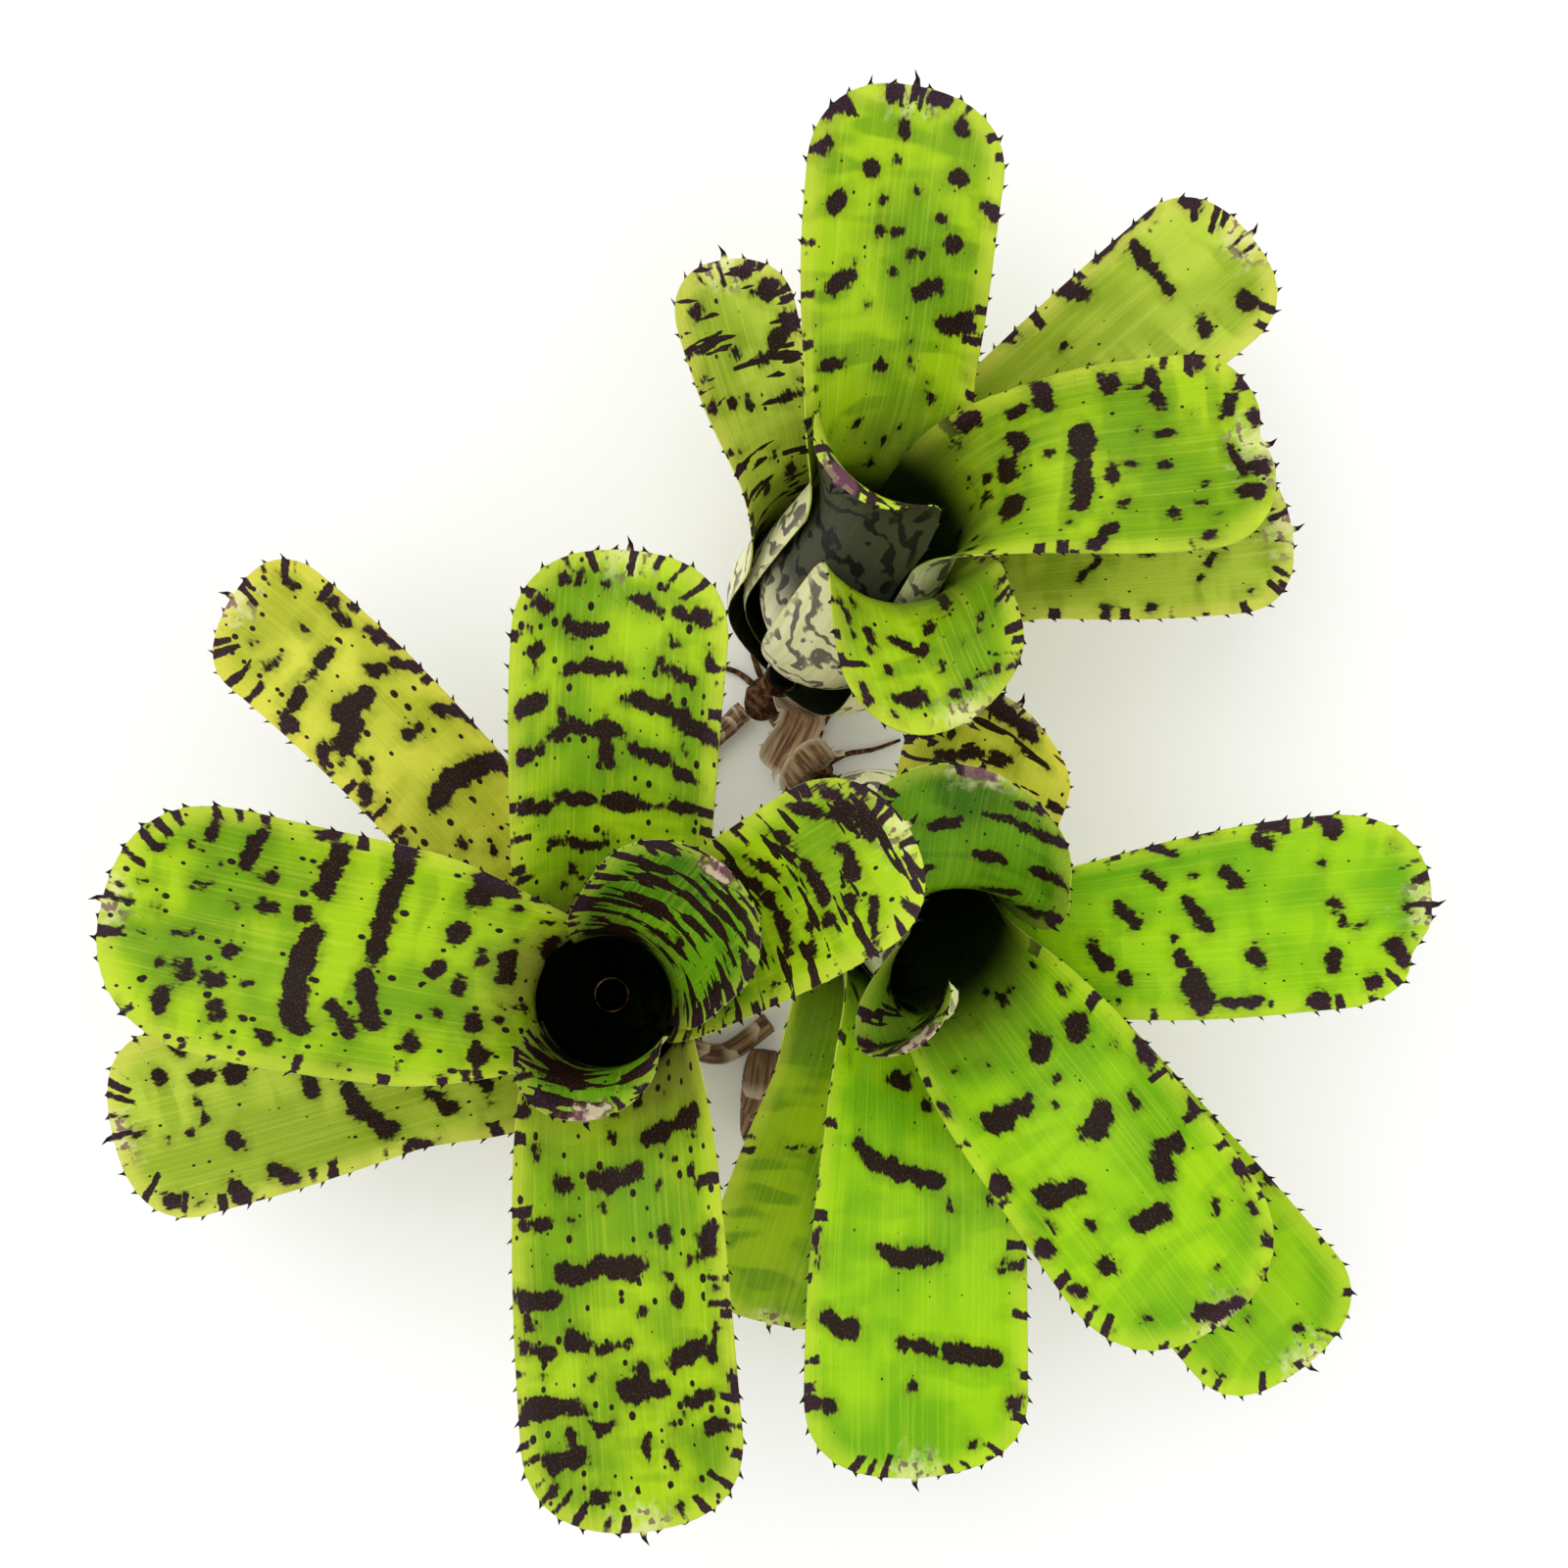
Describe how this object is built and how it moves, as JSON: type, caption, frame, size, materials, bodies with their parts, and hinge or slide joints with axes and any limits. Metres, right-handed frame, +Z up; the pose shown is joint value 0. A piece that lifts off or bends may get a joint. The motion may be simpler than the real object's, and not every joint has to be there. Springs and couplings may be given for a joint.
{
  "type": "neoregelia bromeliad clump",
  "caption": "Clump of a banded neoregelia bromeliad, lifted from its soil: spotted strap-leaved tank rosettes joined by short stolons.",
  "frame": {"origin": "middle of the flat cut foot of the right rosette's stem, on the surface that the clump rests on", "axes": "+Z up, along the clump's height; +X to the right and +Y away from a viewer who looks down on it"},
  "size_m": [0.2802, 0.293, 0.1071],
  "materials": {
    "leaf": "glossy wet leaf, lime green with maroon-black cross bands and spots, dark spined tips",
    "papery": "dry papery brown scale",
    "stem": "matte woody brown"
  },
  "bodies": {
    "root": {"dry_leaf_left": "papery", "dry_leaf_right": "papery", "dry_leaf_upper": "papery", "leaf_left_east": "leaf", "leaf_left_inner_bottom": "leaf", "leaf_left_inner_top": "leaf", "leaf_left_north": "leaf", "leaf_left_northwest": "leaf", "leaf_left_south": "leaf", "leaf_left_southwest": "leaf", "leaf_left_west": "leaf", "leaf_right_east": "leaf", "leaf_right_far_north": "leaf", "leaf_right_far_southeast": "leaf", "leaf_right_inner": "leaf", "leaf_right_north": "leaf", "leaf_right_south": "leaf", "leaf_right_southeast": "leaf", "leaf_right_southwest": "leaf", "leaf_upper_east": "leaf", "leaf_upper_far_east": "leaf", "leaf_upper_inner": "leaf", "leaf_upper_north": "leaf", "leaf_upper_northeast": "leaf", "leaf_upper_south": "leaf", "leaf_upper_west": "leaf", "stem_left": "stem", "stem_right": "stem", "stem_upper": "stem", "stolon_bud": "papery", "stolon_link": "papery", "stolon_main": "papery", "stolon_young": "papery"}
  },
  "joints": []
}
